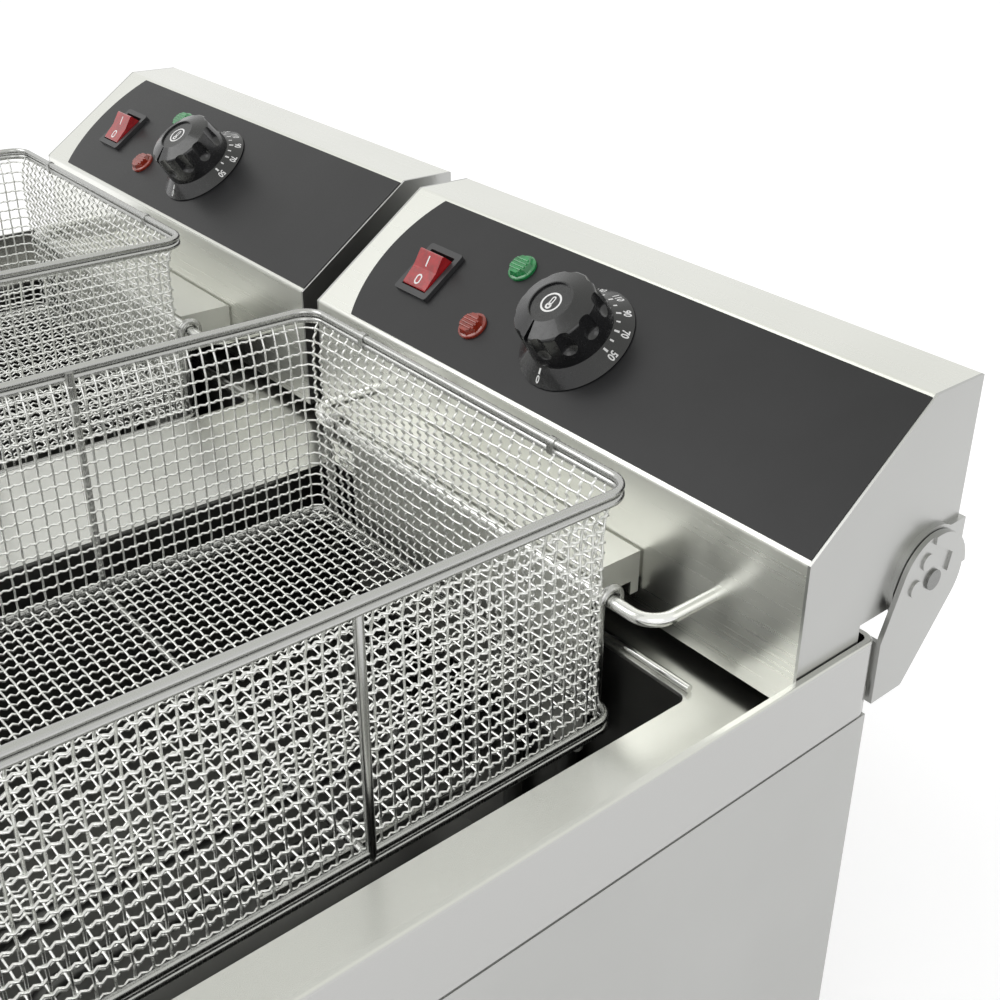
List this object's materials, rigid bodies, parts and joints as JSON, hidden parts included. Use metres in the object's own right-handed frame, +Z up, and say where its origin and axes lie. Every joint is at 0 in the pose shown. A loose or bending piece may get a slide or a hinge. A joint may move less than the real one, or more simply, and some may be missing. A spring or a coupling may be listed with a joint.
{
  "type": "deep fryer",
  "caption": "Table-top deep fryer with side-by-side oil wells, hinged control heads carrying the heating elements, hanging wire baskets and drain taps.",
  "frame": {"origin": "on the floor, under the middle of the whole object's box", "axes": "+X to the user's right, +Y to the rear, +Z up"},
  "size_m": [0.6236, 0.5292, 0.3305],
  "materials": {
    "steel_sheet": "fine brushed stainless sheet",
    "plain_steel": "plain mill sheet",
    "tank_steel": "satin pressed stainless",
    "wire": "bright drawn wire",
    "wire_mesh": "woven crimped wire",
    "screw_steel": "plated",
    "element_metal": "dull sheathed tube",
    "tap_metal": "nickel plated",
    "lever_metal": "dipped red sleeve on steel",
    "overlay_black": "satin printed film",
    "black_plastic": "moulded",
    "thermostat_body": "plain",
    "ceramic": "unglazed ceramic",
    "knob_black": "gloss moulded",
    "grip_plastic": "heat-proof moulded",
    "rocker_red": "translucent",
    "lens_green": "translucent ribbed",
    "lens_red": "translucent ribbed",
    "rubber": "moulded"
  },
  "bodies": {
    "body": {"casing": "steel_sheet", "base_plate": "plain_steel", "feet": "rubber", "top_deck": "steel_sheet", "edge_rods": "wire", "hinge_brackets": "steel_sheet", "bracket_screws": "screw_steel", "hinge_pins": "screw_steel", "drain_taps": "tap_metal", "left_tank": "tank_steel", "right_tank": "tank_steel"},
    "left_head": {"left_head_shell": "steel_sheet", "left_head_side_plates": "steel_sheet", "left_head_floor": "plain_steel", "left_head_back_panel": "steel_sheet", "left_panel_overlay": "overlay_black", "left_switch_body": "black_plastic", "left_thermostat": "thermostat_body", "left_cable_gland": "black_plastic", "left_limit_thermostat": "black_plastic", "left_terminal_block": "ceramic", "left_element_cover": "steel_sheet", "left_heating_element": "element_metal", "left_sensor_bulb": "wire", "left_hanger_bar": "wire", "left_hinge_ears": "steel_sheet", "left_green_lamp": "lens_green", "left_red_lamp": "lens_red"},
    "left_knob": {"left_knob": "knob_black"},
    "left_rocker": {"left_rocker": "rocker_red"},
    "left_basket": {"left_basket_frame": "wire", "left_basket_mesh": "wire_mesh", "left_basket_grip": "grip_plastic"},
    "left_tap_lever": {"left_tap_lever": "lever_metal"},
    "right_head": {"right_head_shell": "steel_sheet", "right_head_side_plates": "steel_sheet", "right_head_floor": "plain_steel", "right_head_back_panel": "steel_sheet", "right_panel_overlay": "overlay_black", "right_switch_body": "black_plastic", "right_thermostat": "thermostat_body", "right_cable_gland": "black_plastic", "right_limit_thermostat": "black_plastic", "right_terminal_block": "ceramic", "right_element_cover": "steel_sheet", "right_heating_element": "element_metal", "right_sensor_bulb": "wire", "right_hanger_bar": "wire", "right_hinge_ears": "steel_sheet", "right_green_lamp": "lens_green", "right_red_lamp": "lens_red"},
    "right_knob": {"right_knob": "knob_black"},
    "right_rocker": {"right_rocker": "rocker_red"},
    "right_basket": {"right_basket_frame": "wire", "right_basket_mesh": "wire_mesh", "right_basket_grip": "grip_plastic"},
    "right_tap_lever": {"right_tap_lever": "lever_metal"}
  },
  "joints": [
    {"name": "left_head_tilt", "type": "hinge", "parent": "body", "child": "left_head", "pos_m": [-0.1565, 0.23005, 0.2487], "axis": [-1, 0, 0], "range_deg": [0, 88]},
    {"name": "left_knob_turn", "type": "hinge", "parent": "left_head", "child": "left_knob", "pos_m": [-0.1565, 0.1903, 0.30245], "axis": [0, 0.5925, -0.8056], "range_deg": [0, 270]},
    {"name": "left_rocker_tip", "type": "hinge", "parent": "left_head", "child": "left_rocker", "pos_m": [-0.2554, 0.188, 0.30355], "axis": [-1, 0, 0], "range_deg": [0, 34]},
    {"name": "left_basket_lift", "type": "slide", "parent": "left_head", "child": "left_basket", "axis": [0, 0, 1], "range_m": [0, 0.2]},
    {"name": "left_tap_turn", "type": "hinge", "parent": "body", "child": "left_tap_lever", "pos_m": [-0.1565, -0.21585, 0.081], "axis": [0, 0, -1], "range_deg": [0, 90]},
    {"name": "right_head_tilt", "type": "hinge", "parent": "body", "child": "right_head", "pos_m": [0.1565, 0.23005, 0.2487], "axis": [-1, 0, 0], "range_deg": [0, 88]},
    {"name": "right_knob_turn", "type": "hinge", "parent": "right_head", "child": "right_knob", "pos_m": [0.1565, 0.1903, 0.30245], "axis": [0, 0.5925, -0.8056], "range_deg": [0, 270]},
    {"name": "right_rocker_tip", "type": "hinge", "parent": "right_head", "child": "right_rocker", "pos_m": [0.0576, 0.188, 0.30355], "axis": [-1, 0, 0], "range_deg": [0, 34]},
    {"name": "right_basket_lift", "type": "slide", "parent": "right_head", "child": "right_basket", "axis": [0, 0, 1], "range_m": [0, 0.2]},
    {"name": "right_tap_turn", "type": "hinge", "parent": "body", "child": "right_tap_lever", "pos_m": [0.1565, -0.21585, 0.081], "axis": [0, 0, -1], "range_deg": [0, 90]}
  ]
}
